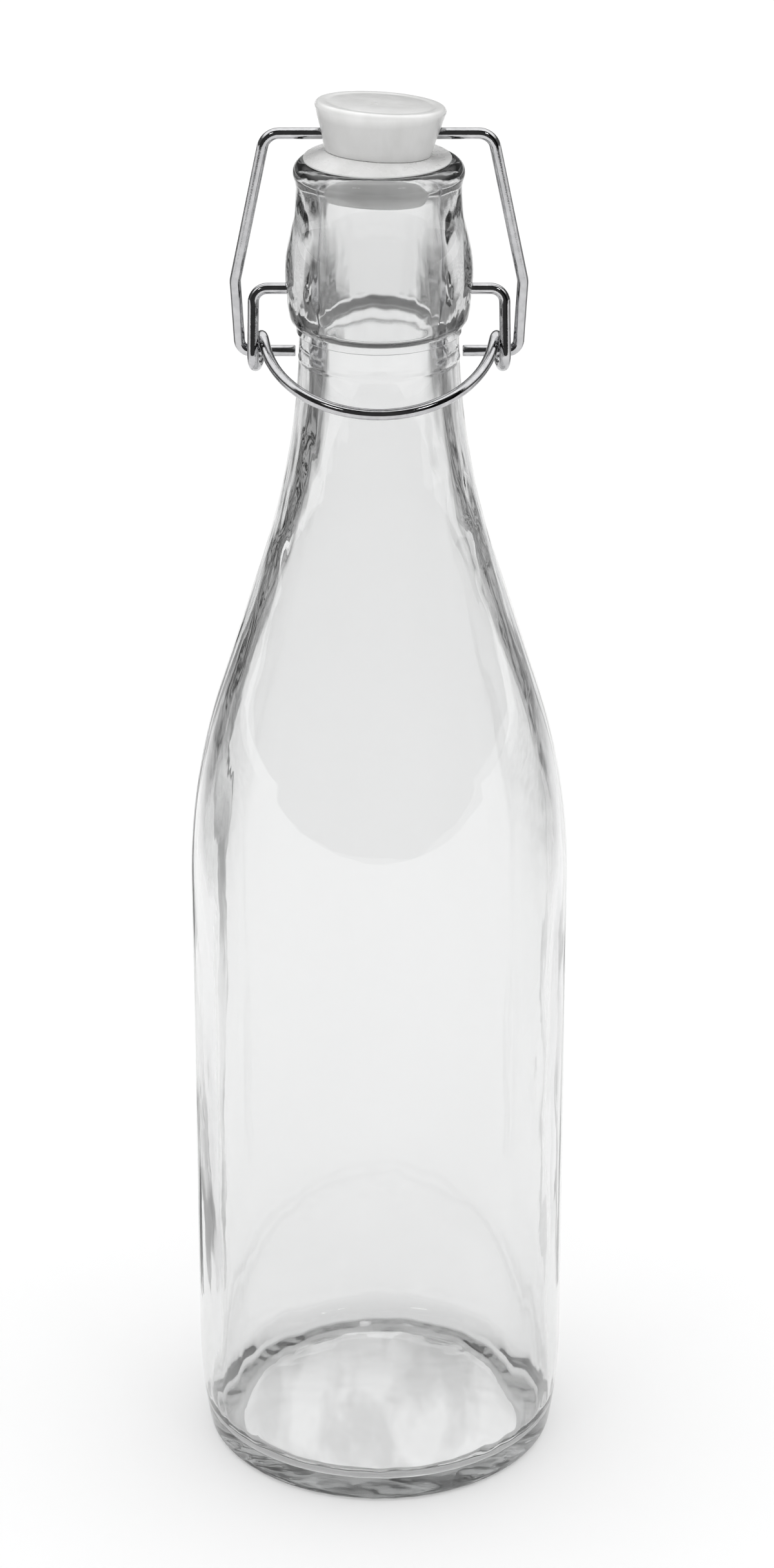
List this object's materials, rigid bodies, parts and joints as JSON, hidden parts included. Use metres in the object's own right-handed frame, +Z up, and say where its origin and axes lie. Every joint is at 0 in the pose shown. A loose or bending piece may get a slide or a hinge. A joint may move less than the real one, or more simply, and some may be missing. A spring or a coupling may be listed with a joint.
{
  "type": "swing-top bottle",
  "caption": "Slim clear-glass bottle with a barrel-shaped collar, a wire lever closure and a moulded plug stopper on a conical gasket.",
  "frame": {"origin": "centre of the base, on the surface that the bottle stands on", "axes": "+Z up along the bottle's axis, -Y towards the handle of the lever, X along the lever's and the crossbar's axes"},
  "size_m": [0.07, 0.07, 0.2636],
  "materials": {
    "clear_glass": "clear, smooth, fire polished",
    "plated_wire": "bright nickel-plated spring steel wire",
    "stopper_plastic": "translucent natural polyethylene, satin",
    "gasket_rubber": "translucent natural rubber-like seal, satin"
  },
  "bodies": {
    "glass": {"bottle": "clear_glass"},
    "lever": {"lever_wire": "plated_wire"},
    "bail": {"bail_wire": "plated_wire"},
    "plug": {"stopper": "stopper_plastic", "gasket": "gasket_rubber"}
  },
  "joints": [
    {"name": "lever_pivot", "type": "hinge", "parent": "glass", "child": "lever", "pos_m": [0, 0, 0.2294], "axis": [-1, 0, 0], "range_deg": [0, 95]},
    {"name": "eye_pivot", "type": "hinge", "parent": "lever", "child": "bail", "pos_m": [0, 0.0015, 0.2175], "axis": [-1, 0, 0], "range_deg": [-68.4, 0]},
    {"name": "stopper_pivot", "type": "hinge", "parent": "bail", "child": "plug", "pos_m": [0, 0, 0.2573], "axis": [-1, 0, 0], "range_deg": [-26.6, 0]}
  ],
  "couplings": [
    {"joint": "eye_pivot", "follows": "lever_pivot", "ratio": -0.72},
    {"joint": "stopper_pivot", "follows": "lever_pivot", "ratio": -0.28}
  ]
}
